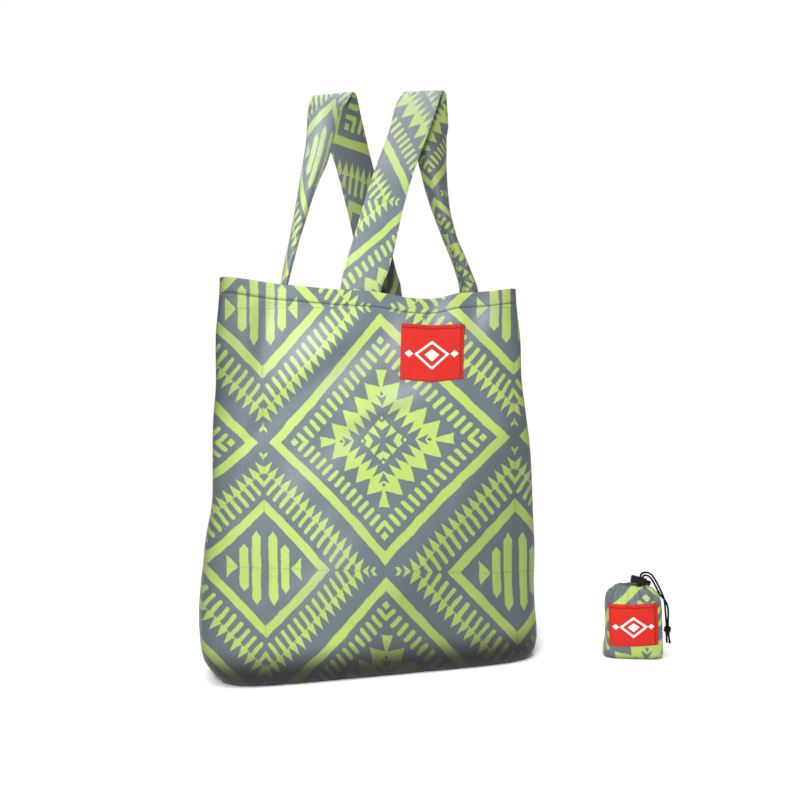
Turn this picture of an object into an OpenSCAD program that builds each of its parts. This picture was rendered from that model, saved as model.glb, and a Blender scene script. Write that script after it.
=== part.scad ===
// Foldable tote bag with its drawcord stuff pouch.
// Millimetres, +Z up, front towards -Y. Origin: middle of the bag's base, on the floor.

/* [Bag] */
// Width of the bag at its base
base_w = 410; // [360:1:440]
// Width of the bag at its rim
rim_w = 368; // [350:1:400]
// Height of the rim at the side seams
bag_h = 462; // [440:1:480]
// How far the rim sags in its middle
rim_sag = 15; // [5:1:20]
// Depth of the bag at its base
base_d = 100; // [90:1:110]
// Depth of the mouth in its middle
mouth_d = 40; // [40:1:50]
// Thickness of the bag's cloth
cloth_t = 1.0; // [0.8:0.1:1.2]

/* [Handles] */
// Thickness of a strap, which is two layers of cloth
strap_t = 1.6; // [1.2:0.1:2]
// Depth of the strap ends sewn inside the hem
hem_d = 18; // [14:1:20]
// Extra thickness where a strap is bunched to a rope
bunch_t = 3.2; // [2:0.1:3.4]

/* [Patch] */
// Width of the sewn patch on the bag
patch_w = 82; // [70:1:90]
// Height of the sewn patch on the bag
patch_h = 67; // [56:1:72]
// Thickness of a patch
patch_t = 0.8; // [0.6:0.1:1]

/* [Pouch] */
// Width of the pouch
pouch_w = 72; // [68:1:76]
// Height of the pouch to the top of its gathers
pouch_h = 88; // [86:0.5:88]
// Depth of the pouch where it is fullest
pouch_d = 40; // [36:1:42]
// Thickness of the pouch's cloth
pouch_t = 1.0; // [0.8:0.1:1.2]

/* [Drawcord and lock] */
// Diameter of the drawcord
cord_d = 2.5; // [2.2:0.1:2.6]
// Diameter of the lock's barrel
barrel_d = 9.3; // [9:0.1:9.6]
// Length of the lock's barrel
barrel_l = 18.5; // [18:0.5:20]
// Diameter of the plunger
plunger_d = 6; // [5.8:0.1:6]
// How far the plunger travels
plunger_travel = 3; // [2:0.5:3]

/* [Hidden] */

print_colour = "#9FB98A";
patch_colour = "#E8382B";
binding_colour = "#79838C";
cord_colour = "#1B1B1D";
steel_colour = "silver";
gap = 0.3;
columns = 24;
rim_lean = 7;

// Rows of a bag shell: height, half width, half depth, squareness of the outline, lean to the right.
bag_rows = [
    [0, base_w / 2 - 9, base_d / 2 - 8, 5, 4],
    [1.5, base_w / 2 - 5, base_d / 2 - 4.5, 5, 4],
    [6, base_w / 2 - 1.5, base_d / 2 - 1, 5, 4],
    [14, base_w / 2, base_d / 2 + 1, 4.6, 4],
    [40, base_w / 2 + 1, base_d / 2 + 2, 4.2, 4],
    [80, base_w / 2, base_d / 2 + 1, 3.8, 4],
    [140, base_w / 2 - 1, base_d / 2 - 2, 3.2, 8],
    [200, base_w / 2 - 6, base_d / 2 - 7, 2.8, 12],
    [270, base_w / 2 - 8, base_d / 2 - 13, 2.5, 11.5],
    [330, rim_w / 2 + 7.5, base_d / 2 - 19, 2.3, 9.5],
    [390, rim_w / 2 + 6, mouth_d / 2 + 5.5, 2.1, 8],
    [430, rim_w / 2 + 2, mouth_d / 2 + 2.5, 2, 7.5],
    [bag_h - 12, rim_w / 2, mouth_d / 2 + 0.8, 2, rim_lean],
    [bag_h, rim_w / 2, mouth_d / 2, 2, rim_lean]
];
pouch_rows = [
    [0, pouch_w / 2 - 4, pouch_d / 2 - 7, 4, 0],
    [1.5, pouch_w / 2 - 1.5, pouch_d / 2 - 5, 4, 0],
    [6, pouch_w / 2, pouch_d / 2 - 3, 4, 0],
    [20, pouch_w / 2 - 0.5, pouch_d / 2 - 0.5, 3.8, 0],
    [40, pouch_w / 2 - 1, pouch_d / 2, 3.6, 0],
    [60, pouch_w / 2 - 1.5, pouch_d / 2 - 0.5, 3.4, 0],
    [pouch_h - 16, pouch_w / 2 - 3, pouch_d / 2 - 2, 2.8, 0],
    [pouch_h - 9, pouch_w / 2 - 8, pouch_d / 2 - 4, 2.3, 0],
    [pouch_h - 4, pouch_w / 2 - 15, pouch_d / 2 - 7, 2, 0],
    [pouch_h - 2, pouch_w / 2 - 19, pouch_d / 2 - 9, 2, 0],
    [pouch_h, pouch_w / 2 - 20, pouch_d / 2 - 9, 2, 0]
];

patch_x = 71;
patch_z = 376;
pouch_patch_w = 60;
pouch_patch_h = 51;
pouch_patch_x = -3;
pouch_patch_z = 43;
pouch_place = [326, -55, 0];
pouch_turn = -20;

front_hinge_z = 456;
back_hinge_z = 460;

// Stations along a strap: left edge x and z, right edge x and z, y.
front_strap = [
    [-37, 458, 13, 458, -18],
    [-24, 508, 27, 500, -20.5],
    [-10, 555, 38, 550, -21.5],
    [4, 598, 53, 600, -21.5],
    [20, 640, 70, 644, -20.5],
    [29, 672, 82, 677, -18],
    [38, 689, 89, 695, -15],
    [45, 694, 93, 699, -11.5],
    [48, 689, 97, 694, -8.5],
    [52, 660, 100, 664, -5.5],
    [65, 618, 102, 615, -4.5],
    [78, 574, 104, 574, -5],
    [88, 545, 107, 545, -6.5],
    [98, 518, 112, 518, -8],
    [107, 493, 122, 493, -9.5],
    [113, 472, 130, 472, -11],
    [115, 461, 135, 461, -12]
];
back_strap = [
    [-103, 463, -94, 463, 15],
    [-94, 515, -78, 518, 15],
    [-84, 572, -61, 575, 13.5],
    [-78, 610, -46, 612, 12],
    [-74, 641, -36, 645, 9.5],
    [-73, 667, -29, 672, 7],
    [-71, 679, -22, 686, 5.5],
    [-66, 684, -17, 692, 8.5],
    [-63, 679, -12, 686, 12],
    [-58, 660, -4, 662, 15.5],
    [-41, 619, 7, 620, 18],
    [-30, 584, 18, 580, 19.5],
    [-14, 523, 32, 520, 20],
    [-3, 482, 42, 480, 19],
    [2, 463, 46, 463, 18.5]
];

// The lock lies on the gathers. Its axis falls to the right, and the cord goes through it from below.
lock_start = [-3.4, -7.2, 97.6];
lock_tilt = 14;
slot_at = 12;
slot_l = 5.8;
slot_w = 3;
bore_r = plunger_d / 2 + 0.2;
bore_end = 2;
plunger_l = 15.5;
plunger_out = barrel_l + 5.8;
spring_wire = 0.5;
spring_r = 2.2;
spring_turns = 4;

inner_route = [
    [10.7, -7.2, 98.9], [12, -7.2, 101], [14.8, -7.1, 101.6], [18.3, -7, 100.4], [21.8, -6.8, 96.8],
    [25.2, -6.6, 91], [28.5, -6.4, 84.5], [32, -6.2, 78], [36, -5.8, 73], [39.3, -5.5, 69],
    [41.5, -5.5, 62.5], [42.2, -5.6, 55.5], [42, -5.7, 48], [41.8, -5.8, 41]
];
outer_route = [
    [8, -7.2, 99.6], [8.8, -7.2, 102.6], [11.5, -7.2, 104.6], [15, -7.2, 105.2], [18.8, -7.3, 104.2],
    [22.8, -7.4, 101], [26.4, -7.6, 95.5], [29.8, -7.9, 89], [33, -8.4, 82], [35.8, -9, 75],
    [37.2, -9.2, 68], [37.8, -8.8, 61], [38.4, -8.4, 54], [39, -8, 47.5], [39.4, -7.7, 41]
];
knot_at = [40.7, -6.6, 34.8];
left_tail = [[39.9, -7, 31], [39.8, -7.2, 26], [40.1, -7.4, 19]];
right_tail = [[41.9, -6.4, 31], [42.8, -6.2, 26], [44, -6, 18]];

// Interpolates column i of a table of rows whose first value is the height.
function row_value(rows, z, i) = lookup(z, [for (r = rows) [r[0], r[i]]]);

// Depth of an outline at x: a squared-off ellipse of half width w, half depth d and squareness n.
function bulge(x, w, d, n) = d * pow(max(0, 1 - pow(min(1, abs(x) / w), n)), 1 / n);

// The rim dips in its middle, and every row below it follows in proportion.
function rim_z(x, sag, h) = h - sag * pow(cos(min(90, 90 * abs(x - rim_lean) / (rim_w / 2))), 2);

// Distance from the middle plane to the outside of a shell at (x, z).
function shell_y(rows, x, z) =
    bulge(x - row_value(rows, z, 4), row_value(rows, z, 1), row_value(rows, z, 2), row_value(rows, z, 3));

function bag_y(x, z) = shell_y(bag_rows, x, z * bag_h / rim_z(x, rim_sag, bag_h));

// Skins a list of rings, each with the same even number of points, and closes both ends with strips.
// The two halves of a ring's front and of its back are split on opposite diagonals, so the mesh is
// symmetric and no triangle at a seam is flat.
module loft(rings) {
    m = len(rings[0]);
    last = (len(rings) - 1) * m;
    points = [for (r = rings) each r];
    sides = [for (i = [0 : len(rings) - 2], k = [0 : m - 1])
        let (
            a = i * m + k,
            b = i * m + (k + 1) % m,
            c = b + m,
            d = a + m
        )
        each k % (m / 2) < m / 4 ? [[a, b, c], [a, c, d]] : [[a, b, d], [b, c, d]]];
    start = [for (k = [0 : m / 2 - 2]) [k, m - 1 - k, m - 2 - k, k + 1]];
    end = [for (k = [0 : m / 2 - 2]) [last + k, last + k + 1, last + m - 2 - k, last + m - 1 - k]];
    polyhedron(points = points, faces = concat(sides, start, end));
}

// One point row of a shell's front half, pulled in by inset and lifted to z.
function shell_row(row, inset, z, sag, h, base_scale = 1, flat = false) =
    [for (j = [0 : columns])
        let (
            u = sin(-90 + 180 * j / columns),
            w = row[1] - inset,
            x = row[4] + u * w * base_scale,
            y = flat ? 0 : bulge(u * w, w, row[2] - inset, row[3])
        )
        [x, -y, z * rim_z(x, sag, h) / h]];

function backwards(list) = [for (i = [len(list) - 1 : -1 : 0]) list[i]];

// Front half of a bag: from the base seam, out along the base and up to the rim.
module half_shell(rows, t, sag, h) {
    seam_scale = 0.98;
    base = concat(
        shell_row(rows[0], 0, 0, sag, h, seam_scale, true),
        backwards(shell_row(rows[0], t, t, sag, h, seam_scale, true))
    );
    walls = [for (r = rows)
        concat(
            shell_row(r, 0, r[0], sag, h),
            backwards(shell_row(r, t, r[0] + t * max(0, 1 - r[0] / h), sag, h))
        )];
    loft(concat([base], walls));
}

// A ring of points round a straight edge pair: a flat ribbon section of thickness t.
function ribbon_ring(a, b, normal, t) =
    let (n = normal * t / 2)
    [a - n, b - n, b + n, a + n];

function unit(v) = v / norm(v);

// Ribbon through stations [left x, left z, right x, right z, y], thicker where it is narrow.
module strap(stations) {
    last = len(stations) - 1;
    middles = [for (s = stations) [(s[0] + s[2]) / 2, s[4], (s[1] + s[3]) / 2]];
    full = max([for (s = stations) s[2] - s[0]]);
    loft([for (i = [0 : last])
        let (
            s = stations[i],
            along = unit(middles[min(last, i + 1)] - middles[max(0, i - 1)]),
            across = unit([s[2] - s[0], 0, s[3] - s[1]]),
            t = strap_t + bunch_t * pow(1 - (s[2] - s[0]) / full, 2)
        )
        ribbon_ring([s[0], s[4], s[1]], [s[2], s[4], s[3]], unit(cross(across, along)), t)]);
}

// End of a strap, sewn against the inside of the hem between left and right, up to the fold.
// side is -1 for the front panel and 1 for the back panel.
module strap_end(left, right, top, side, t) {
    xs = [left, (left + right) / 2, right];
    base = rim_z(left, rim_sag, bag_h) - hem_d;
    heights = [base, (base + top) / 2, top];
    loft([for (z = heights)
        let (
            inner = [for (x = xs) bag_y(x, min(z, rim_z(x, rim_sag, bag_h))) - cloth_t - gap],
            near = [for (i = [0 : 2]) [xs[i], side * inner[i], z]],
            far = [for (i = [2 : -1 : 0]) [xs[i], side * (inner[i] - t), z]]
        )
        side < 0 ? concat(near, far) : concat(backwards(far), backwards(near))]);
}

// Patch that follows the outside of a shell.
module patch(rows, cx, cz, w, h, t, bag) {
    nx = 16;
    nz = 10;
    loft([for (k = [0 : nz])
        let (z = cz - h / 2 + h * k / nz)
        concat(
            [for (i = [0 : nx])
                let (x = cx - w / 2 + w * i / nx)
                [x, -(bag ? bag_y(x, z) : shell_y(rows, x, z)) - 2 * gap - t, z]],
            [for (i = [nx : -1 : 0])
                let (x = cx - w / 2 + w * i / nx)
                [x, -(bag ? bag_y(x, z) : shell_y(rows, x, z)) - 2 * gap, z]]
        )]);
}

// Round tube along a route. Its rings stay square to the route.
module tube(route, d, sides = 8) {
    last = len(route) - 1;
    loft([for (i = [0 : last])
        let (
            along = unit(route[min(last, i + 1)] - route[max(0, i - 1)]),
            side = unit(cross(along, [0, 1, 0])),
            up = cross(side, along)
        )
        [for (k = [0 : sides - 1])
            let (a = 360 * k / sides)
            route[i] + d / 2 * (cos(a) * side + sin(a) * up)]]);
}

module front_panel() {
    color(print_colour)
        half_shell(bag_rows, cloth_t, rim_sag, bag_h);
}

module back_panel() {
    color(print_colour)
        mirror([0, 1, 0])
            half_shell(bag_rows, cloth_t, rim_sag, bag_h);
}

// Tape round the side seam's allowance, standing in from the seam. side is -1 on the left.
module seam_binding(side) {
    allowance = 10;
    half_t = 0.8;
    heights = [12, 40, 80, 140, 200, 270, 330, 390, bag_h - hem_d];
    color(binding_colour)
        loft([for (z = heights)
            let (
                lean = row_value(bag_rows, z, 4),
                out = row_value(bag_rows, z, 1) - cloth_t - gap,
                x1 = lean + (side < 0 ? -out : out - allowance),
                x2 = lean + (side < 0 ? allowance - out : out)
            )
            [[x1, -half_t, z], [x2, -half_t, z], [x2, half_t, z], [x1, half_t, z]]]);
}

module base_seam_binding() {
    seam_l = base_w - 60;
    color(binding_colour)
        translate([bag_rows[0][4] - seam_l / 2, -6, cloth_t + gap])
            cube([seam_l, 12, 1]);
}

// Tape over the boxed corner's seam, which runs across the end of the base.
module corner_binding(side) {
    color(binding_colour)
        translate([bag_rows[0][4] + side * (base_w / 2 - 22) - 4, -26, cloth_t + gap])
            cube([8, 52, 1]);
}

module front_patch() {
    color(patch_colour)
        patch(bag_rows, patch_x, patch_z, patch_w, patch_h, patch_t, true);
}

module front_handle() {
    color(print_colour)
        strap(front_strap);
}

module back_handle() {
    color(print_colour)
        strap(back_strap);
}

// The pouch's own frame: middle of its base, front towards -Y.
module in_pouch() {
    translate(pouch_place)
        rotate([0, 0, pouch_turn])
            children();
}

module pouch_front_panel() {
    color(print_colour)
        in_pouch()
            half_shell(pouch_rows, pouch_t, 0, pouch_h);
}

module pouch_back_panel() {
    color(print_colour)
        in_pouch()
            mirror([0, 1, 0])
                half_shell(pouch_rows, pouch_t, 0, pouch_h);
}

// Half widths of the mouth from the cloth inwards: the cord, then the turned-in lining.
mouth_w = pouch_w / 2 - 20 - pouch_t;
mouth_y = pouch_d / 2 - 9 - pouch_t;
cord_in = gap + cord_d / 2;
lining_in = 2 * gap + cord_d;

module pouch_channel_lining() {
    color(print_colour)
        in_pouch()
            translate([0, 0, pouch_h - 4])
                linear_extrude(2.8)
                    difference() {
                        ellipse(mouth_w - lining_in, mouth_y - lining_in);
                        ellipse(mouth_w - lining_in - pouch_t, mouth_y - lining_in - pouch_t);
                    }
}

module ellipse(rx, ry) {
    polygon([for (a = [0 : 10 : 350]) [rx * cos(a), ry * sin(a)]]);
}

// The cord's run inside the channel, open by a small gap behind the neck.
module drawcord_loop() {
    color(cord_colour)
        in_pouch()
            tube([for (a = [-34 : 15.7 : 280])
                [(mouth_w - cord_in) * cos(a), (mouth_y - cord_in) * sin(a), pouch_h - 2]], cord_d);
}

module pouch_patch() {
    color(patch_colour)
        in_pouch()
            patch(pouch_rows, pouch_patch_x, pouch_patch_z, pouch_patch_w, pouch_patch_h, patch_t, false);
}

// Frame of the cord lock: X along its barrel, Z along the cord's way out.
module in_lock() {
    in_pouch()
        translate(lock_start)
            rotate([0, lock_tilt, 0])
                children();
}

// The two cords that rise from the channel to the underside of the lock.
module drawcord_neck() {
    drop = 2.6;
    color(cord_colour)
        in_lock()
            for (side = [-1, 1])
                translate([slot_at - 0.25 + side * cord_d * 0.56, 0, -barrel_d / 2 - drop])
                    cylinder(d = cord_d, h = drop, $fn = 24);
}

module drawcord_inner_strand() {
    color(cord_colour)
        in_pouch()
            tube(inner_route, cord_d);
}

module drawcord_outer_strand() {
    color(cord_colour)
        in_pouch()
            tube(outer_route, cord_d);
}

module drawcord_knot() {
    color(cord_colour)
        in_pouch() {
            translate(knot_at)
                hull() {
                    translate([0, 0, 1.6])
                        sphere(r = 3.6, $fn = 24);
                    translate([0, 0, -1.6])
                        sphere(r = 4, $fn = 24);
                }
            tube(left_tail, cord_d);
            tube(right_tail, cord_d);
        }
}

module cord_slot() {
    hull()
        for (side = [-1, 1])
            translate([side * (slot_l - slot_w) / 2, 0, -barrel_d])
                cylinder(d = slot_w, h = 2 * barrel_d, $fn = 24);
}

module cord_lock_barrel() {
    rim_ring = 0.4;
    color(cord_colour)
        in_lock()
            difference() {
                rotate([0, 90, 0])
                    rotate_extrude($fn = 48)
                        polygon([
                            [0, 0], [barrel_d / 2 - 0.8, 0], [barrel_d / 2, 0.8],
                            [barrel_d / 2, barrel_l - 1.6], [barrel_d / 2 - rim_ring, barrel_l - 1.6],
                            [barrel_d / 2 - rim_ring, barrel_l], [0, barrel_l]
                        ]);
                translate([bore_end, 0, 0])
                    rotate([0, 90, 0])
                        cylinder(r = bore_r, h = barrel_l, $fn = 48);
                translate([slot_at, 0, 0])
                    cord_slot();
            }
}

// The plunger stands out by its travel, so its slot is off the barrel's until it is pressed.
module cord_lock_plunger() {
    color(cord_colour)
        in_lock()
            difference() {
                translate([plunger_out - plunger_l, 0, 0])
                    rotate([0, 90, 0])
                        rotate_extrude($fn = 48)
                            polygon([
                                [0, 0], [plunger_d / 2, 0], [plunger_d / 2, plunger_l - 0.6],
                                [plunger_d / 2 - 0.6, plunger_l], [0, plunger_l]
                            ]);
                translate([slot_at + plunger_travel, 0, 0])
                    cord_slot();
            }
}

module cord_lock_spring() {
    steps = 12 * spring_turns;
    start = bore_end + spring_wire / 2 + 0.05;
    run = plunger_out - plunger_l - bore_end - spring_wire - 0.1;
    color(steel_colour)
        in_lock()
            loft([for (i = [0 : steps])
                let (
                    a = 360 * spring_turns * i / steps,
                    out = [0, cos(a), sin(a)]
                )
                [for (k = [0 : 5])
                    let (b = 60 * k)
                    [start + run * i / steps, 0, 0] + spring_r * out
                        + spring_wire / 2 * (cos(b) * out + sin(b) * [1, 0, 0])]]);
}

front_panel();
back_panel();
seam_binding(-1);  // left_seam_binding
seam_binding(1);  // right_seam_binding
base_seam_binding();
corner_binding(-1);  // left_corner_binding
corner_binding(1);  // right_corner_binding
front_patch();
front_handle();
color(print_colour) strap_end(-38, 12, front_hinge_z - 0.5, -1, strap_t);  // front_handle_left_end
color(print_colour) strap_end(115, 136, front_hinge_z - 0.5, -1, strap_t + 1);  // front_handle_right_end
back_handle();
color(print_colour) strap_end(-104, -94, back_hinge_z - 0.5, 1, strap_t + 2);  // back_handle_left_end
color(print_colour) strap_end(3, 47, back_hinge_z - 0.5, 1, strap_t);  // back_handle_right_end
pouch_front_panel();
pouch_back_panel();
pouch_channel_lining();
pouch_patch();
drawcord_loop();
drawcord_neck();
drawcord_inner_strand();
drawcord_outer_strand();
drawcord_knot();
cord_lock_barrel();
cord_lock_plunger();
cord_lock_spring();
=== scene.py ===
import math

import bpy
import numpy as np
from mathutils import Matrix, Vector, noise


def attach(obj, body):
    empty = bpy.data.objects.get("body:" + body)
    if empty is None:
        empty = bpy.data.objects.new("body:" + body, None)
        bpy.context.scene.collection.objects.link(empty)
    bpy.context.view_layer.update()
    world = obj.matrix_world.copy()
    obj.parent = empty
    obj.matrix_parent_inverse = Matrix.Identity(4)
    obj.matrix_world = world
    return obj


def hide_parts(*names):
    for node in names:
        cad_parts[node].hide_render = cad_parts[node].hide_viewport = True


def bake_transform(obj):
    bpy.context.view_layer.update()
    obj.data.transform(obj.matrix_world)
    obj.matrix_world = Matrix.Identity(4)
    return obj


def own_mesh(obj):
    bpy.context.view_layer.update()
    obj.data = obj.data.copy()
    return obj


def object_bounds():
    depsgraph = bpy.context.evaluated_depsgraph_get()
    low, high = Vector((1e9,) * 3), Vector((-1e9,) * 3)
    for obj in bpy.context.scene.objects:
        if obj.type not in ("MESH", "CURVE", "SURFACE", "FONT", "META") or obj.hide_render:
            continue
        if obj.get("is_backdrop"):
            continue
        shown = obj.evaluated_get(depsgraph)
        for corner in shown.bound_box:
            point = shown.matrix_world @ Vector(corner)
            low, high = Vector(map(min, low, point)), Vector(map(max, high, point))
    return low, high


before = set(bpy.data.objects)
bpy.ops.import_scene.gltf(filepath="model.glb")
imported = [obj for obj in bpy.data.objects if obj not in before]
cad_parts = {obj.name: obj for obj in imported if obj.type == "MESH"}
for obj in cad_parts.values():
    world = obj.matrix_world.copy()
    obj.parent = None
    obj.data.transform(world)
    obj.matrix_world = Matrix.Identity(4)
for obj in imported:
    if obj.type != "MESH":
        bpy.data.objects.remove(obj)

CAD_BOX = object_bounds()
MM = 0.001
SKY = 0.38  # strength of the light from all round
HALF = 309.0 / 2  # the print repeats every 309 mm, across and up
CLOTH_T = 0.45  # thickness of the printed cloth
BASE_Z = 0.05  # height of the cloth that lies on the floor


# ---------------------------------------------------------------- camera, stage and light
def make_camera():
    """A level camera in front and to the left of the bag, 40 mm lens."""
    data = bpy.data.cameras.new("camera")
    data.lens = 40.1
    data.sensor_width = 36
    data.shift_y = -0.0475
    data.clip_end = 50
    camera = bpy.data.objects.new("camera", data)
    camera.location = (-0.24293, -1.05479, 0.366)
    camera.rotation_euler = (math.radians(90), 0, math.radians(-15))
    bpy.context.scene.collection.objects.link(camera)
    bpy.context.scene.camera = camera


def area_light(name, place, target, size, power, spread):
    data = bpy.data.lights.new(name, "AREA")
    data.shape = "SQUARE"
    data.size = size
    data.energy = power
    data.spread = math.radians(spread)
    light = bpy.data.objects.new(name, data)
    light.location = place
    aim = Vector(target) - Vector(place)
    light.rotation_euler = aim.to_track_quat("-Z", "Y").to_euler()
    bpy.context.scene.collection.objects.link(light)


def make_light():
    """A white studio: an even sky, a broad soft sun that whitens the floor, and a key in front.

    The camera sees the sky as plain white, and the object gets less light from it.
    """
    scene = bpy.context.scene
    scene.view_settings.view_transform = "Standard"
    scene.view_settings.look = "None"
    world = bpy.data.worlds.new("studio")
    scene.world = world
    world.use_nodes = True
    tree = world.node_tree
    background = tree.nodes["Background"]
    background.inputs["Color"].default_value = (1, 1, 1, 1)
    seen = tree.nodes.new("ShaderNodeLightPath")
    strength = tree.nodes.new("ShaderNodeMath")
    strength.operation = "MULTIPLY_ADD"
    tree.links.new(seen.outputs["Is Camera Ray"], strength.inputs[0])
    strength.inputs[1].default_value = 1 - SKY
    strength.inputs[2].default_value = SKY
    tree.links.new(strength.outputs[0], background.inputs["Strength"])
    sun = bpy.data.lights.new("sun", "SUN")
    sun.energy = 2.4
    sun.angle = math.radians(45)
    overhead = bpy.data.objects.new("sun", sun)
    overhead.rotation_euler = Vector((0.2, 0.2, -1)).to_track_quat("-Z", "Y").to_euler()
    scene.collection.objects.link(overhead)
    area_light("key", (-0.58, -1.4, 1.0), (-0.03, -0.03, 0.40), 0.4, 3.6, 56)


make_camera()
make_light()


# ---------------------------------------------------------------- routes of the drawcord
POUCH_PLACE = Vector((326, -55, 0)) * MM
POUCH = Matrix.Translation(POUCH_PLACE) @ Matrix.Rotation(math.radians(-20), 4, "Z")
LOCK = POUCH @ Matrix.Translation(Vector((-3.4, -7.2, 97.6)) * MM) @ Matrix.Rotation(
    math.radians(14), 4, "Y"
)
CORD_R = 1.25
INNER_ROUTE = [
    (10.7, -7.2, 98.9), (12, -7.2, 101), (14.8, -7.1, 101.6), (18.3, -7, 100.4), (21.8, -6.8, 96.8),
    (25.2, -6.6, 91), (28.5, -6.4, 84.5), (32, -6.2, 78), (36, -5.8, 73), (39.3, -5.5, 69),
    (41.5, -5.5, 62.5), (42.2, -5.6, 55.5), (42, -5.7, 48), (41.8, -5.8, 41),
]
OUTER_ROUTE = [
    (8, -7.2, 99.6), (8.8, -7.2, 102.6), (11.5, -7.2, 104.6), (15, -7.2, 105.2), (18.8, -7.3, 104.2),
    (22.8, -7.4, 101), (26.4, -7.6, 95.5), (29.8, -7.9, 89), (33, -8.4, 82), (35.8, -9, 75),
    (37.2, -9.2, 68), (37.8, -8.8, 61), (38.4, -8.4, 54), (39, -8, 47.5), (39.4, -7.7, 41),
]
KNOT_AT = Vector((40.7, -6.6, 34.8))
LEFT_TAIL = [(39.9, -7, 33), (39.8, -7.2, 26), (40.1, -7.4, 19)]
RIGHT_TAIL = [(41.9, -6.4, 33), (42.8, -6.2, 26), (44, -6, 18)]


# ---------------------------------------------------------------- small geometry helpers
def smooth(t):
    t = np.clip(t, 0, 1)
    return t * t * (3 - 2 * t)


def unit(v):
    return v / np.maximum(np.linalg.norm(v, axis=-1, keepdims=True), 1e-12)


def run_along(line):
    """How far along a line each of its points is."""
    return np.concatenate([[0], np.cumsum(np.linalg.norm(np.diff(line, axis=0), axis=1))])


def at_run(values, run, at):
    """The values, one row for each point of a line, at some distances along the line."""
    return np.stack([np.interp(at, run, values[:, k]) for k in range(values.shape[1])], axis=1)


def evenly(line, count):
    """A line's points made count points, evenly spaced."""
    run = run_along(line)
    return at_run(line, run, np.linspace(0, run[-1], count))


def spline(points, count):
    """count points evenly spaced along a smooth curve through the points."""
    p = np.array(points, float)
    p = np.vstack([2 * p[0] - p[1], p, 2 * p[-1] - p[-2]])
    t = np.linspace(0, 1, 24, endpoint=False)[:, None]
    line = []
    for a, b, c, d in zip(p[:-3], p[1:-2], p[2:-1], p[3:]):
        line.append(
            0.5 * (2 * b + (c - a) * t + (2 * a - 5 * b + 4 * c - d) * t**2
                   + (3 * b - a - 3 * c + d) * t**3)
        )
    return evenly(np.vstack(line + [p[-2:-1]]), count)


def length_of(line):
    return float(run_along(np.array(line, float))[-1])


def placed(points, matrix):
    """Points in millimetres, moved to the row frame in metres."""
    p = np.array(points, float) * MM
    m = np.array(matrix)
    return p @ m[:3, :3].T + m[:3, 3]


def lumps(points, scale, seed):
    """Smooth noise from -1 to 1 at each point. scale is the size of a lump."""
    shift = Vector((seed * 7.31, seed * 3.17, seed * 5.71))
    values = [noise.noise(Vector(p) / scale + shift) for p in points.reshape(-1, 3)]
    return np.array(values).reshape(points.shape[:-1])


def new_object(name, verts, faces, uvs, materials):
    """A mesh object. uvs is a dict of map name to an array of one (u, v) for each vertex."""
    mesh = bpy.data.meshes.new(name)
    mesh.from_pydata([tuple(v) for v in verts.reshape(-1, 3)], [], faces)
    loops = np.zeros(len(mesh.loops), np.int64)
    mesh.loops.foreach_get("vertex_index", loops)
    for key, values in uvs.items():
        layer = mesh.uv_layers.new(name=key)
        layer.data.foreach_set("uv", values.reshape(-1, 2)[loops].ravel())
    for m in materials:
        mesh.materials.append(m)
    mesh.polygons.foreach_set("use_smooth", [True] * len(mesh.polygons))
    obj = bpy.data.objects.new(name, mesh)
    bpy.context.scene.collection.objects.link(obj)
    return obj


def grid_faces(rows, columns, closed=False, flip=False):
    faces = []
    wrap = columns if closed else columns - 1
    for i in range(rows - 1):
        for j in range(wrap):
            k = (j + 1) % columns
            f = (i * columns + j, i * columns + k, (i + 1) * columns + k, (i + 1) * columns + j)
            faces.append(f[::-1] if flip else f)
    return faces


def solidify(obj, thickness, offset=-1.0, inner_material=False):
    m = obj.modifiers.new("thickness", "SOLIDIFY")
    m.thickness = thickness
    m.offset = offset
    m.use_even_offset = False
    if inner_material:
        m.material_offset = 1
        m.material_offset_rim = 0


def frames_along(line):
    """Directions to the side and up at each point of a line, without twist."""
    along = unit(np.gradient(line, axis=0))
    side = np.zeros_like(along)
    start = np.array([0.0, 1.0, 0.0])
    if abs(along[0] @ start) > 0.9:
        start = np.array([1.0, 0.0, 0.0])
    s = unit(np.cross(along[0], start))
    for i, a in enumerate(along):
        s = unit(s - (s @ a) * a)
        side[i] = s
    return side, np.cross(along, side)


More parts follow.
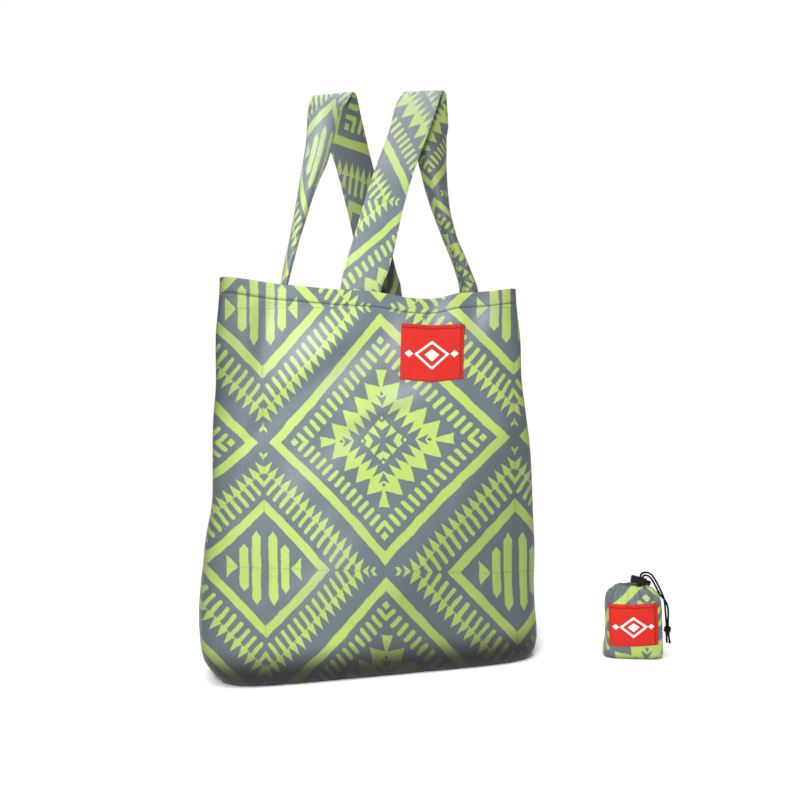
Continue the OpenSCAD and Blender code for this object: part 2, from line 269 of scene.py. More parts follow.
class Pile:
    """Vertices, faces and UVs of many small parts that make one object."""

    def __init__(self):
        self.verts, self.faces, self.uvs, self.count = [], [], [], 0

    def add(self, verts, faces, uvs):
        self.verts.append(np.array(verts))
        self.uvs.append(np.array(uvs))
        self.faces += [tuple(i + self.count for i in f) for f in faces]
        self.count += len(verts)

    def tube(self, line, radius, sides, braid=0.0):
        """A closed tube round a line in metres. radius is one number or one for each point."""
        line = np.array(line, float)
        radius = np.broadcast_to(radius, len(line))
        side, up = frames_along(line)
        run = run_along(line)
        angle = np.linspace(0, 2 * math.pi, sides, endpoint=False)
        r = radius[:, None] * np.ones(sides)
        if braid:
            turn = run[:, None] / (radius.max() * 2.2) * math.pi
            weave = np.abs(np.sin(4 * angle + turn)) * np.abs(np.sin(4 * angle - turn))
            r = r * (1 + braid * (weave - 0.6))
        c, s = np.cos(angle)[None, :, None], np.sin(angle)[None, :, None]
        ring = c * side[:, None] + s * up[:, None]
        verts = (line[:, None] + r[..., None] * ring).reshape(-1, 3)
        uv = np.stack(np.broadcast_arrays(angle[None, :] * radius.max(), run[:, None]), axis=-1)
        uv = uv.reshape(-1, 2)
        faces = grid_faces(len(line), sides, closed=True)
        n = len(verts)
        verts = np.vstack([verts, line[:1], line[-1:]])
        uv = np.vstack([uv, [[0, 0]], [[0, run[-1]]]])
        last = (len(line) - 1) * sides
        faces += [(n, (k + 1) % sides, k) for k in range(sides)]
        faces += [(n + 1, last + k, last + (k + 1) % sides) for k in range(sides)]
        self.add(verts, faces, uv)

    def stitches(self, line, normal, pitch=3.2, length=2.5, radius=0.26):
        """A row of stitches in millimetres on a line in metres, lying on the cloth."""
        normal = unit(normal)
        run = run_along(line)
        lift = np.array([-0.35, 0.12, 0.3, 0.12, -0.35]) * radius * MM * 1.6
        thick = np.array([0.45, 0.9, 1, 0.9, 0.45]) * radius * MM
        for start in np.arange(0.3 * MM, run[-1] - length * MM, pitch * MM):
            at = start + np.linspace(0, length, 5) * MM
            p = at_run(line, run, at)
            n = at_run(normal, run, at)
            self.tube(p + n * lift[:, None], thick, sides=6)

    def object(self, name, material):
        return new_object(
            name, np.vstack(self.verts), self.faces, {"Cloth": np.vstack(self.uvs)}, [material]
        )


# ---------------------------------------------------------------- materials
class Ex:
    """A number or a socket in a node tree. Arithmetic on it adds Math nodes."""

    def __init__(self, tree, value):
        self.tree, self.value = tree, value

    def op(self, name, *others, clamp=False):
        node = self.tree.nodes.new("ShaderNodeMath")
        node.operation = name
        node.use_clamp = clamp
        for slot, v in zip(node.inputs, (self, *others)):
            v = v.value if isinstance(v, Ex) else v
            if isinstance(v, (int, float)):
                slot.default_value = v
            else:
                self.tree.links.new(v, slot)
        return Ex(self.tree, node.outputs[0])

    def __add__(self, o): return self.op("ADD", o)
    def __radd__(self, o): return self.op("ADD", o)
    def __sub__(self, o): return self.op("SUBTRACT", o)
    def __rsub__(self, o): return Ex(self.tree, o).op("SUBTRACT", self)
    def __mul__(self, o): return self.op("MULTIPLY", o)
    def __rmul__(self, o): return self.op("MULTIPLY", o)
    def __abs__(self): return self.op("ABSOLUTE")
    def waves(self, size): return abs(self).op("PINGPONG", size)
    def edge(self, width): return (self * (1 / width) + 0.5).op("ADD", 0, clamp=True)


def least(first, *rest):
    for r in rest:
        first = first.op("MINIMUM", r)
    return first


def most(first, *rest):
    for r in rest:
        first = first.op("MAXIMUM", r)
    return first


class Material:
    """A node material with one Principled shader."""

    def __init__(self, name, **values):
        self.mat = bpy.data.materials.new(name)
        self.mat.use_nodes = True
        self.tree = self.mat.node_tree
        self.shader = self.tree.nodes["Principled BSDF"]
        for key, value in values.items():
            self.shader.inputs[key.replace("_", " ")].default_value = value

    def node(self, kind, **links):
        node = self.tree.nodes.new(kind)
        for key, value in links.items():
            slot = node.inputs[key.replace("_", " ")]
            value = value.value if isinstance(value, Ex) else value
            if isinstance(value, bpy.types.NodeSocket):
                self.tree.links.new(value, slot)
            else:
                slot.default_value = value
        return node

    def uv(self, name):
        """The two parts of a UV map, in millimetres."""
        node = self.tree.nodes.new("ShaderNodeUVMap")
        node.uv_map = name
        parts = self.node("ShaderNodeSeparateXYZ", Vector=node.outputs[0])
        return Ex(self.tree, parts.outputs[0]) * 1000, Ex(self.tree, parts.outputs[1]) * 1000

    def point(self):
        return self.tree.nodes.new("ShaderNodeTexCoord").outputs["Object"]

    def noise(self, vector, scale, detail=2.0, roughness=0.5, output="Fac"):
        node = self.node("ShaderNodeTexNoise", Vector=vector, Scale=scale, Detail=detail,
                         Roughness=roughness)
        return Ex(self.tree, node.outputs[output])

    def vector(self, x, y, z=0.0):
        return self.node("ShaderNodeCombineXYZ", X=x, Y=y, Z=z).outputs[0]

    def mix(self, factor, a, b):
        """Colour a at 0 and b at 1."""
        node = self.tree.nodes.new("ShaderNodeMix")
        node.data_type = "RGBA"
        for slot, v in ((node.inputs[0], factor), (node.inputs[6], a), (node.inputs[7], b)):
            v = v.value if isinstance(v, Ex) else v
            if isinstance(v, bpy.types.NodeSocket):
                self.tree.links.new(v, slot)
            else:
                slot.default_value = v
        return node.outputs[2]

    def scaled(self, colour, factor):
        """The colour times a number."""
        node = self.tree.nodes.new("ShaderNodeVectorMath")
        node.operation = "SCALE"
        self.tree.links.new(colour, node.inputs[0])
        self.tree.links.new(factor.value, node.inputs["Scale"])
        return node.outputs[0]

    def look(self, colour, roughness, bump=None, distance=0, strength=1.0):
        """Set the shader's colour, roughness and bump, whose full height is distance in metres."""
        self.tree.links.new(colour, self.shader.inputs["Base Color"])
        self.tree.links.new(roughness.value, self.shader.inputs["Roughness"])
        if bump is not None:
            node = self.node("ShaderNodeBump", Height=bump, Distance=distance, Strength=strength)
            self.tree.links.new(node.outputs[0], self.shader.inputs["Normal"])
        return self.mat


def srgb(r, g, b):
    """A display colour, 0 to 255, as the linear colour a shader takes."""
    def linear(c):
        c = c / 255
        return c / 12.92 if c < 0.04045 else ((c + 0.055) / 1.055) ** 2.4
    return (linear(r), linear(g), linear(b), 1)


def tinted(colour, factor):
    return tuple(c * factor for c in colour[:3]) + (1,)


LIME = srgb(194, 221, 112)
# The pale colour of the painted highlights on the cloth's folds.
HIGHLIGHT_COLOUR = srgb(200, 207, 213)


def capsule(across, along, half, radius):
    """How far inside a bar with round ends a point is."""
    rest = (abs(along) - half).op("MAXIMUM", 0)
    return radius - (across * across + rest * rest).op("SQRT")


def diamond_print(u, v):
    """How far inside the lime parts of the print a point is, in millimetres. u and v are millimetres.

    Big stepped diamonds sit on the repeat's corners and small ones between them. a and b are the
    distances from the nearest big diamond's middle; p runs out of it across its side, q along it.
    """
    a = u.waves(HALF)
    b = v.waves(HALF)
    out = a + b
    p = out * 0.7071
    q = abs(a - b) * 0.7071
    far = most(a, b)
    near = least(a, b)
    c = HALF - a
    d = HALF - b

    big_band = least(out - 133, 148 - out) * 0.7
    small_band = least(out - 228.2, 243 - out) * 0.7

    comb = q.waves(5.5)
    dashes = least(capsule(5.5 - comb, p - 77.5, 6.6, 2.6), 77 - q)
    spot = 5.2 - abs(far - 116) - near

    reach = 161.4 - p
    lean = abs((a - b) * 0.7071 - (reach - 17) * 0.12).waves(5.45)
    bars = capsule(5.45 - lean, reach - 18.5, 9.4, 2.4)
    spikes = least(lean - 0.2 - (reach - 26) * 0.32, reach - 26, 42.5 - reach)

    side = least(44.4 - c, ((c - 31.7) * 1.02 - d) * 0.7)
    short_bar = least(5.2 - abs(c - 24.5), (27.6 - d - abs(c - 24.5) * 1.2) * 0.64)
    long_bar = least(5.2 - abs(c - 10), (42.6 - d - abs(c - 10) * 1.5) * 0.55)
    mirror = least(c, d) - 0.2

    star = least(p - (43 - 3.18 * comb), 45.5 + 1.674 * q.waves(10.75) - p) * 0.5
    notch = 2.4 - abs(far - 55) * 0.8 - near
    kite = least(19.8 - p, (p - 3.7) * 0.26 - q)
    block = least(
        ((far - 12.5) * 1.6 - near) * 0.53,
        (22.8 - far * 0.76 - near) * 0.8,
        (near - (far - 20.8) * 1.22) * 0.63,
    )
    dot = 2.4 - abs(far - 26.7) - near
    dart = least(82 - far, (far - 62.6) * 0.34 - near)
    step = HALF - far
    tick = least(1.7 - abs(near - 17.5 + step * 0.8) * 0.78, 4.6 - step)

    medallion = most(least(star, notch * -1), kite, block, dot, dart)
    ink = most(
        big_band, small_band, dashes, spot, bars, spikes, side, short_bar, long_bar, medallion, tick
    )
    return least(ink, mirror)


def cloth_grain(u, v):
    """Height of a plain weave with a thicker rip-stop yarn every 5 mm, from 0 to 1."""
    pitch = 0.55
    across, up = [(x * (math.pi / pitch)).op("SINE") for x in (u, v)]
    plain = abs(across * up) * 0.6
    stop = most((u.waves(2.5) - 2.36) * 5, (v.waves(2.5) - 2.36) * 5).op("MAXIMUM", 0)
    return plain + stop.op("MINIMUM", 0.5)


def printed_cloth(name, across=(1, 0), along=(0, 1), start=(0, 0), faded=0, painted_light=False, tone=0.56):
    """Thin cloth printed in lime on grey. across and along are the way through the print for each
    millimetre across and along the piece, which starts at start. tone is how light the cloth is.

    Where asked, a UV map holds painted light: painted shade at the seams, the base and the hem's crease,
    and painted highlights on the folds. m.uv() gives its values in thousandths.
    """
    m = Material(name, Sheen_Weight=0.08, Sheen_Roughness=0.4, IOR=1.45, Specular_IOR_Level=0.42)
    pu, pv = m.uv("Print")
    parts = m.node("ShaderNodeSeparateColor",
                   Color=m.noise(m.vector(pu, pv), 0.055, 4.0, 0.62, "Color"))
    wobble = [(Ex(m.tree, parts.outputs[k]) - 0.5) * 4.4 for k in (0, 1)]
    way = [pu * across[k] + pv * along[k] + start[k] + wobble[k] for k in (0, 1)]
    ink = diamond_print(*way).edge(0.7)

    cu, cv = m.uv("Cloth")
    grain = cloth_grain(cu, cv)
    place = m.point()
    soft = m.noise(place, 9, 3)
    fine = m.noise(m.vector(cu, cv), 1.1, 3, 0.7)
    lime = m.mix(soft, tinted(LIME, 0.97), tinted(LIME, 1.03))
    grey = m.mix(fine, srgb(96, 107, 115), srgb(122, 134, 142))
    colour = m.mix(ink, grey, lime)
    if faded:
        colour = m.mix(faded, colour, srgb(150, 162, 150))
    mottle = m.noise(m.vector(cu, cv), 0.42, 3, 0.8)
    shade = tone - 0.15 + soft * 0.06 + fine * 0.08 + mottle * 0.17
    if painted_light:
        # Painted shade darkens the colour, and painted highlights mix it towards a pale colour.
        dark, painted_highlight = m.uv("PaintedLight")
        shade = shade * (1 - dark * 0.001)
        colour = m.mix(painted_highlight * 0.001, colour, HIGHLIGHT_COLOUR)
    crumple = m.noise(place, 60, 4, 0.55)
    return m.look(m.scaled(colour, shade), 0.44 + soft * 0.12 + grain * 0.08 - ink * 0.04,
                  grain * 0.06 + fine * 0.02 + crumple * 0.6, 0.0011, 0.55)


def patch_material(name, width, height, tone):
    """Red woven patch with a white motif of nested diamonds. Its UV map Cloth starts at the middle.

    Its top and right edges are turned under, with a groove and a line of painted shade along each, and
    painted shade darkens its outer edges.
    """
    m = Material(name, Sheen_Weight=0.03, IOR=1.45, Specular_IOR_Level=0.18)
    u, v = m.uv("Cloth")
    x, y = abs(u + 1), abs(v + 2)
    out = x * 0.75 + y
    size = height * 0.25
    ring = least(out - (size - 3), size - out) * 0.8
    core = (size * 0.42 - out) * 0.8
    flank = (height * 0.062 - abs(x - width * 0.36) * 0.8 - y) * 0.8
    ink = most(ring, core, flank).edge(0.5)
    thread = abs((u * 7.2).op("SINE")) * 0.5 + abs((v * 9).op("SINE")) * 0.5
    fine = m.noise(m.vector(u, v), 2.2, 3, 0.7)
    red = m.mix(fine, srgb(222, 34, 26), srgb(242, 56, 44))
    fold = least(abs(v - (height / 2 - 4.6)), abs(u - (width / 2 - 4.2)))
    groove = (fold * 0.7).op("MINIMUM", 1.0)
    edge = least(width / 2 - abs(u), height / 2 - abs(v)).op("MULTIPLY", 0.8, clamp=True)
    # Painted shade: darker along the turned-under folds and at the outer edges.
    red = m.scaled(red, (0.05 + 0.31 * groove + 0.15 * edge + thread * 0.06) * tone)
    return m.look(m.mix(ink, red, srgb(226, 225, 223)), 0.55 + fine * 0.2,
                  thread * 0.25 + ink * 0.3 + groove * 0.8, 0.0005, 0.6)


def tape_material():
    m = Material("binding_tape", Sheen_Weight=0.2, IOR=1.45)
    u, v = m.uv("Cloth")
    rib = abs((v * 3.4).op("SINE"))
    fine = m.noise(m.vector(u, v), 1.5, 3, 0.7)
    grey = m.mix(fine, srgb(92, 101, 110), srgb(116, 126, 135))
    return m.look(m.scaled(grey, 0.8 + rib * 0.2), 0.6 + fine * 0.2, rib * 0.5 + fine * 0.2,
                  0.0003, 0.7)


def thread_material(name, dark, light):
    m = Material(name, Sheen_Weight=0.2, IOR=1.45)
    u, v = m.uv("Cloth")
    twist = abs((u * 6 + v * 5).op("SINE"))
    return m.look(m.mix(twist, dark, light), 0.5 + twist * 0.2, twist, 0.0001, 0.8)


def cord_material():
    m = Material("cord", IOR=1.45, Specular_IOR_Level=0.12)
    u, v = m.uv("Cloth")
    one = abs((u * 3.2 + v * 2.6).op("SINE"))
    two = abs((u * 3.2 - v * 2.6).op("SINE"))
    yarn = one * two
    fine = m.noise(m.vector(u, v), 6, 2)
    return m.look(m.mix(yarn * 0.7 + fine * 0.3, srgb(4, 4, 5), srgb(22, 22, 24)),
                  0.55 + fine * 0.2, yarn + fine * 0.2, 0.0002, 0.8)


def plastic_material(name, dark, light, rough):
    m = Material(name, IOR=1.5, Specular_IOR_Level=0.22)
    place = m.point()
    grain = m.noise(place, 2600, 2)
    scuff = m.noise(place, 160, 4, 0.6)
    return m.look(m.mix(scuff, dark, light), rough + scuff * 0.14 + grain * 0.06,
                  grain * 0.7 + scuff * 0.3, 0.00008, 0.5)


def steel_material():
    m = Material("spring_steel", Metallic=1.0)
    drawn = m.noise(m.point(), 900, 3)
    return m.look(m.mix(drawn, srgb(150, 152, 155), srgb(205, 206, 208)), 0.22 + drawn * 0.2,
                  drawn, 0.00004, 0.5)


BAG_CLOTH = printed_cloth("bag_cloth", painted_light=True)
BAG_REVERSE = printed_cloth("bag_cloth_reverse", faded=0.5)
# Lit and shaded copies of one cloth: the inner layers' low tone is painted shade on the straps' inner
# faces, and the outer layers carry painted highlights.
STRAP_FRONT = [
    printed_cloth("front_strap_outer", (1.3, -0.034), (0.028, 1.075), (-40, 14), painted_light=True, tone=0.59),
    printed_cloth("front_strap_inner", (1.39, 0), (0, 1.39), (13.9, -102.7), tone=0.37),
]
STRAP_BACK = [
    printed_cloth("back_strap_outer", (1.65, 0.54), (-0.01, 1.06), (145.3, -34.5), painted_light=True, tone=0.62),
    printed_cloth("back_strap_inner", (1.04, 0.7), (-0.12, 0.97), (-85, 14), tone=0.3),
]
POUCH_CUT = {"across": (0.96, 0), "along": (0, 0.96), "start": (-13.5, 41)}
POUCH_CLOTH = printed_cloth("pouch_cloth", **POUCH_CUT, painted_light=True, tone=0.6)
POUCH_REVERSE = printed_cloth("pouch_cloth_reverse", **POUCH_CUT, faded=0.4)
BAG_PATCH = (80.6, 67)
POUCH_PATCH = (58.6, 51)
# The two patches are the same red cloth; the pouch's copy is painted lighter, to make up for the lesser
# light that reaches it.
PATCH_BIG = patch_material("bag_patch_cloth", *BAG_PATCH, 0.95)
PATCH_SMALL = patch_material("pouch_patch_cloth", *POUCH_PATCH, 1.18)
TAPE = tape_material()
THREAD = thread_material("grey_thread", srgb(52, 58, 64), srgb(88, 95, 102))
RED_THREAD = thread_material("red_thread", srgb(120, 18, 16), srgb(168, 32, 28))
CORD = cord_material()


# ---------------------------------------------------------------- bag shell
# Rows of the shell: height, left edge, right edge, half depth, squareness, all in millimetres.
BAG_ROWS = np.array([
    (0, -165, 195, 44, 5),
    (1.5, -171, 198, 47.5, 5),
    (6, -179, 203.5, 51, 5),
    (14, -188, 208.5, 53, 4.6),
    (28, -197.5, 211.5, 54, 4.4),
    (45, -200, 210.5, 54, 4.2),
    (76, -201, 209, 52.5, 3.8),
    (107, -199, 210.5, 51, 3.5),
    (135, -195.5, 212.5, 49, 3.3),
    (160, -194, 212, 47, 3.1),
    (178, -190, 211.5, 45, 3),
    (200, -185.5, 211.5, 43, 2.8),
    (235, -185.5, 211, 40, 2.65),
    (270, -185.5, 209, 37, 2.5),
    (305, -184.8, 204, 33.5, 2.4),
    (325, -182, 202, 31.5, 2.3),
    (345, -181.5, 198.5, 29.5, 2.25),
    (390, -182.3, 198.5, 25.5, 2.1),
    (410, -181, 197, 24, 2.05),
    (430, -178.5, 193.5, 22.5, 2),
    (450, -177.5, 192, 20.8, 2),
    (462, -177, 191, 20, 2),
])
BAG_H = 462.0
BASE_X = 15  # the middle of the bag's base
HEM = 18.0
HALF_W = 200  # about half of the bag's width, for distances from its side seams
# Height of the front rim along x.
RIM = np.array([
    (-177, 464), (-168, 464.5), (-150, 462), (-137, 460), (-125, 458), (-113, 456.5), (-101, 455.8),
    (-65, 453), (-39, 451), (0, 450), (25, 446.5), (45, 443), (68, 442), (85, 443.5), (98, 447.5),
    (110, 450.5), (126, 451.5), (150, 453.5), (176, 457), (186, 459), (192, 458),
])
# Soft folds: middle x and z, angle, half length, half width, height, in millimetres and degrees.
FOLDS = [
    (-95, 345, 46, 90, 15, 4.2), (-120, 310, 48, 70, 13, -3.4), (-45, 385, 40, 55, 16, 3),
    (-150, 405, 75, 50, 14, 3.2), (-126, 400, 80, 45, 10, -2.2), (25, 318, 20, 50, 13, 2.6),
    (10, 298, 25, 45, 12, -2.4), (60, 432, -8, 55, 9, -2.6), (112, 420, -62, 45, 13, 3.4),
    (150, 385, -58, 55, 16, -2.8), (165, 300, -78, 80, 14, 2.6), (-160, 230, 86, 80, 13, 2.2),
    (-60, 180, -50, 100, 18, 2.2), (80, 200, 48, 90, 18, -2), (40, 90, -38, 90, 16, 1.8),
    (-120, 90, 35, 80, 15, 2.4), (140, 110, 62, 80, 16, 2.2), (-20, 45, 4, 130, 12, 2.2),
    (110, 40, -6, 80, 10, -2), (-165, 50, 40, 45, 9, -2.4), (185, 200, 88, 90, 9, -2.2),
]


def table(rows, z, column):
    return np.interp(z, rows[:, 0], rows[:, column])


def bag_row(z, column):
    """A value of BAG_ROWS, averaged over 14 mm of height either way so that no corners show."""
    total = 0
    for step in (-1, -0.5, 0, 0.5, 1):
        total = total + table(BAG_ROWS, np.clip(z + step * 14.0 * smooth(z / 60), 0, None), column)
    return total / 5


def rim_height(x, front):
    """Height of a rim. The back one lies a little lower, except at the side seams."""
    total = 0
    for step in (-6, -3, 0, 3, 6):
        total = total + np.interp(x + step, RIM[:, 0], RIM[:, 1])
    if front:
        return total / 5
    return total / 5 - 6 * np.clip(1 - ((x - 7) / 184) ** 4, 0, 1)


def rounded(sx, n):
    """A rounded section, 1 in its middle and 0 at its sides. A larger n is squarer."""
    return np.power(np.clip(1 - np.abs(sx) ** n, 0, 1), 1 / n)


def spots(x, z, places):
    """The sum of long soft spots on a panel: its folds, or its painted highlights."""
    total = np.zeros_like(x)
    for px, pz, angle, long, wide, high in places:
        c, s = math.cos(math.radians(angle)), math.sin(math.radians(angle))
        along = (x - px) * c + (z - pz) * s
        across = -(x - px) * s + (z - pz) * c
        total += high * np.exp(-((along / long) ** 2) - (across / wide) ** 2)
    return total


def bag_point(sx, z0, front, inset=0.0):
    """Points of the shell in millimetres. sx is from -1 to 1 across it and z0 the height."""
    left = bag_row(z0, 1)
    right = bag_row(z0, 2)
    half = (right - left) / 2 - inset
    x = (left + right) / 2 + half * sx
    y = (bag_row(z0, 3) - inset) * rounded(sx, bag_row(z0, 4))
    z = z0 * rim_height(x, front) / BAG_H
    open_part = np.sqrt(np.clip(1 - sx**2, 0, 1))
    away_from_base = smooth((z0 - 2) / 30)
    wrinkle = 1.5 * (spots(x, z, FOLDS) if front else spots(-x, z + 10, FOLDS))
    flat = np.stack([x, z, np.full_like(x, 0.0 if front else 50.0)], axis=-1)
    wrinkle = wrinkle + 2.2 * lumps(flat, 70, 1)
    wrinkle = wrinkle + 0.8 * lumps(flat, 24, 2)
    seam = np.exp(-((1 - np.abs(sx)) * HALF_W / 16))
    pucker = seam * 0.9 * np.sin(z0 / 5.2 + 2 * np.sin(z0 / 17))
    hem = smooth((z0 - (BAG_H - 26)) / 8)
    wrinkle = wrinkle * (1 - 0.55 * hem)
    crease = np.exp(-(((z0 - (BAG_H - HEM)) / 1.4) ** 2))
    y = y + (wrinkle + pucker) * open_part * away_from_base - 1.2 * crease + 0.5 * hem
    y = np.maximum(y, 0.0)
    return np.stack([x, -y if front else y, z], axis=-1)


def print_uv(x, z, run, front):
    """Where the print lies on a panel, in metres. It is slightly stretched, as printed cloth is."""
    du = x - 12.7 + 5 * np.sin(math.pi * (x + 50) / 215)
    dv = z - 272 - 5 * np.exp(-(((z - 190) / 80) ** 2))
    right = smooth((du + 40) / 80)
    stretch_u = 1.05 * (1 - right) + (0.925 - 0.032 * np.clip(dv / 160, -1, 1)) * right
    up = smooth((dv + 40) / 80)
    side = np.clip(du / 155, -1.3, 1.3)
    stretch_v = (1.02 - 0.075 * side) * (1 - up) + (0.972 - 0.018 * side) * up
    if not front:
        du = -du
    return np.stack([du * stretch_u, dv * stretch_v + run], axis=-1) * MM


# Painted highlights, where folds catch the light: middle x and z, angle, half length, half width, how
# pale.
PAINTED_HIGHLIGHTS = [
    (-118, 425, 80, 34, 12, 0.18), (-82, 388, 40, 40, 14, 0.28), (-28, 355, 35, 52, 15, 0.3),
    (86, 424, 70, 28, 12, 0.42), (143, 421, 60, 30, 13, 0.44), (30, 392, 80, 34, 14, 0.3),
    (40, 328, 15, 34, 15, 0.32), (-60, 130, 50, 60, 16, 0.22), (-95, 238, 70, 34, 16, 0.16),
    (-45, 262, 45, 60, 13, 0.18), (-58, 188, 50, 26, 14, 0.12),
]


def bag_painted_light(sx, height, rows, front):
    """Painted shade on the cloth, from 0 to 1, at the hem's stitch line, the side seams, the base and
    two corners, and painted highlights on its folds."""
    z0, from_seam = height[:, None], (1 - np.abs(sx)[None, :]) * HALF_W
    x, z = rows[..., 0] * (1 if front else -1), rows[..., 2]
    # All painted shade: in the hem's crease, a painted shadow at the base, and shade along the seams and
    # in two corners.
    line = 0.62 * np.exp(-(((z0 - (BAG_H - HEM)) / 0.75) ** 2))
    base = 0.95 * smooth((50 - z0) / 36)
    seams = 0.36 * np.exp(-from_seam / 3.2) + 0.32 * np.exp(-from_seam / 24)
    corner = smooth((x + 95 - z * 0.8) / 60) * smooth((350 - z) / 80)
    corner *= 0.3 - 0.16 * np.exp(-from_seam / 40)
    corner += 0.26 * smooth((-105 - x) / 40) * smooth((z - 280) / 50)
    dark = 1 - (1 - line) * (1 - base) * (1 - seams) * (1 - corner)
    return np.stack([dark, spots(x, z, PAINTED_HIGHLIGHTS)], axis=-1)


def columns_of(count):
    """Places across a panel from -1 to 1, closest at its sides."""
    return np.sin(np.linspace(-1, 1, count) * math.pi / 2)


def cloth_runs(rows, start):
    """How far each point of a panel is across its cloth from the middle, and up it from row start."""
    columns = rows.shape[1]
    step = np.linalg.norm(np.diff(rows, axis=1), axis=2)
    across = np.concatenate([np.zeros((len(rows), 1)), np.cumsum(step, axis=1)], axis=1)
    step = np.linalg.norm(np.diff(rows, axis=0), axis=2)
    up = np.concatenate([np.zeros((1, columns)), np.cumsum(step, axis=0)])
    return across - across[:, columns // 2][:, None], up - up[start]


def bag_panel(name, front):
    """One panel, from the base seam out along the base, up to the rim, and down inside the hem."""
    sx = columns_of(181)
    low = np.array([0, 0.4, 1, 1.8, 2.8, 4, 5.5, 7.5, 10, 13, 16, 19, 22])
    high = np.arange(25, BAG_H, 2.6)
    top = BAG_H - np.array([22, 20.4, 19.2, 18.6, 18, 17.4, 16.8, 15.6, 14, 11, 8, 5, 2, 0])
    z0 = np.concatenate([low, high[high < top[0] - 1], top])
    walls = bag_point(*np.meshgrid(sx, z0), front)
    base = []
    for share in np.linspace(0, 0.96, 15):
        row = walls[0].copy()
        row[:, 0] = BASE_X + (row[:, 0] - BASE_X) * (0.985 + 0.015 * share)
        row[:, 1] *= share
        row[:, 2] = BASE_Z
        base.append(row)
    inner = []
    for drop in (0.2, 1, 3, 6, 9, 12, 15, 17.6):
        row = bag_point(sx, np.full(len(sx), BAG_H - drop), front, inset=1.25)
        row[:, 1] += (0.35 if front else -0.35) * math.sin(drop)
        inner.append(row)
    fold = (walls[-1] + inner[0]) / 2 + [0, 0, 0.5]
    rows = np.concatenate([base, walls, [fold], inner])
    start, end = len(base), len(base) + len(walls)
    across, up = cloth_runs(rows, start)
    past = np.zeros_like(up)
    past[:start] = up[:start]
    past[end:] = up[end:] - up[end - 1]
    print_z = rows[..., 2].copy()
    print_z[:start] = rows[start, :, 2]
    print_z[end:] = rows[end - 1, :, 2]
    height = np.concatenate([np.zeros(start), z0, np.full(len(rows) - end, BAG_H)])
    uvs = {
        "Print": print_uv(rows[..., 0], print_z, past, front),
        "Cloth": np.stack([across, up], axis=-1) * MM,
        # Painted shade and painted highlights, carried in a UV map.
        "PaintedLight": bag_painted_light(sx, height, rows, front),
    }
    obj = new_object(name, rows * MM, grid_faces(len(rows), len(sx), flip=not front),
                     uvs, [BAG_CLOTH, BAG_REVERSE])
    solidify(obj, CLOTH_T * MM, inner_material=True)
    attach(obj, "bag")
    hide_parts("front_panel" if front else "back_panel")


floor_mesh = bpy.data.meshes.new("floor")
floor_mesh.from_pydata([(-9, -4, 0), (9, -4, 0), (9, 14, 0), (-9, 14, 0)], [], [(0, 1, 2, 3)])
floor = bpy.data.objects.new("floor", floor_mesh)
floor.location.z = -0.0004
bpy.context.scene.collection.objects.link(floor)
floor_look = Material("floor", IOR=1.45)
floor_tone = floor_look.noise(floor_look.point(), 3, 3)
floor_white = floor_look.mix(floor_tone, (0.93, 0.93, 0.93, 1), (0.96, 0.96, 0.96, 1))
floor_mesh.materials.append(floor_look.look(floor_white, 0.8 + floor_tone * 0.1))
floor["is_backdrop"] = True

bag_panel("bag_front_cloth", True)
bag_panel("bag_back_cloth", False)


def bag_share(x, z0):
    """How far across the shell x is at a height, from -1 to 1."""
    left, right = bag_row(z0, 1), bag_row(z0, 2)
    return np.clip((x - (left + right) / 2) / ((right - left) / 2), -1, 1)


def on_shell(find, x, z, step):
    """The points that find gives at x and z, and the directions out of the shell there."""
    du = find(x + step, z) - find(x - step, z)
    dv = find(x, z + step) - find(x, z - step)
    return find(x, z), unit(np.cross(du, dv))


def bag_front_at(x, z):
    """Points and outward directions on the front panel at millimetres x and z, in metres."""
    def find(x, z):
        z0 = z * BAG_H / rim_height(x, True)
        return bag_point(bag_share(x, z0), z0, True) * MM
    return on_shell(find, x, z, 1.5)


def rim_stitching():
    pile = Pile()
    sx = np.sin(np.linspace(-0.985, 0.985, 400) * math.pi / 2)
    for front in (True, False):
        line = bag_point(sx, np.full(len(sx), BAG_H - HEM), front)
        line[:, 1] += -0.05 if front else 0.05
        normal = np.zeros_like(line)
        normal[:, 1] = -1 if front else 1
        normal[:, 0] = sx * 0.3
        pile.stitches(line * MM, normal)
    obj = pile.object("bag_hem_stitching", THREAD)
    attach(obj, "bag")


rim_stitching()


# ---------------------------------------------------------------- tapes inside the bag
def tape(name, line, across, width, node):
    """A tape folded over a seam: line down its middle, across its width, in millimetres."""
    across = np.array(across, float)
    normal = unit(np.cross(across, unit(np.gradient(line, axis=0))))
    run = run_along(line)
    shares = np.linspace(-1, 1, 9)
    rows = []
    for s in shares:
        thick = 0.55 * (1 - 0.5 * s**4)
        wave = 0.25 * np.sin(run / 6 + s)
        rows.append(line + across * s * width / 2 + normal * (thick + wave)[:, None])
    grid = np.array(rows).transpose(1, 0, 2)
    uv = np.stack(np.meshgrid(shares * width / 2, run), axis=-1) * MM
    obj = new_object(name, grid * MM, grid_faces(len(line), len(shares)), {"Cloth": uv}, [TAPE])
    solidify(obj, 1.0 * MM)
    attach(obj, "bag")
    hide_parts(node)
    length_of(line) * MM
    pile = Pile()
    for s in (-0.72, 0.72):
        pile.stitches((line + across * s * width / 2 + normal * 0.95) * MM, normal)
    thread = pile.object(name + "_stitching", THREAD)
    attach(thread, "bag")


